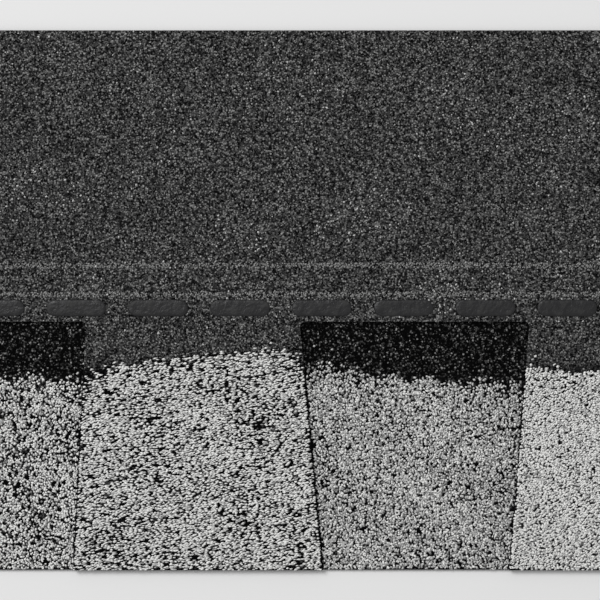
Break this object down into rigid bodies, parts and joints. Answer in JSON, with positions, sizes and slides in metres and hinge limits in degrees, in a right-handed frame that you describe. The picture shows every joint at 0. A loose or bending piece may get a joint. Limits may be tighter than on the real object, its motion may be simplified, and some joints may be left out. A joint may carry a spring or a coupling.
{
  "type": "laminated asphalt roof shingle",
  "caption": "Flat two-ply roof shingle: a mineral-granule sheet with trapezoid tabs bonded over a backer strip, with self-seal dabs and a release film.",
  "frame": {"origin": "middle of the underside's bounding rectangle, on the plane that the shingle lies on", "axes": "+X along the course, +Y up the roof slope from the butt edge to the headlap, +Z out of the granule face"},
  "size_m": [1, 0.337, 0.006],
  "materials": {
    "tab_granules": "grey, white and black mineral granules pressed into filled asphalt over a glass mat, with bare black cut edges and a sanded back",
    "backer_granules": "the same granules, with a dark band under the top of each cutout",
    "sealant_asphalt": "glossy black modified asphalt",
    "film": "thin hazy release film"
  },
  "bodies": {
    "root": {"tab_sheet": "tab_granules", "backer_strip": "backer_granules", "sealant_dabs": "sealant_asphalt", "release_film": "film"}
  },
  "joints": []
}
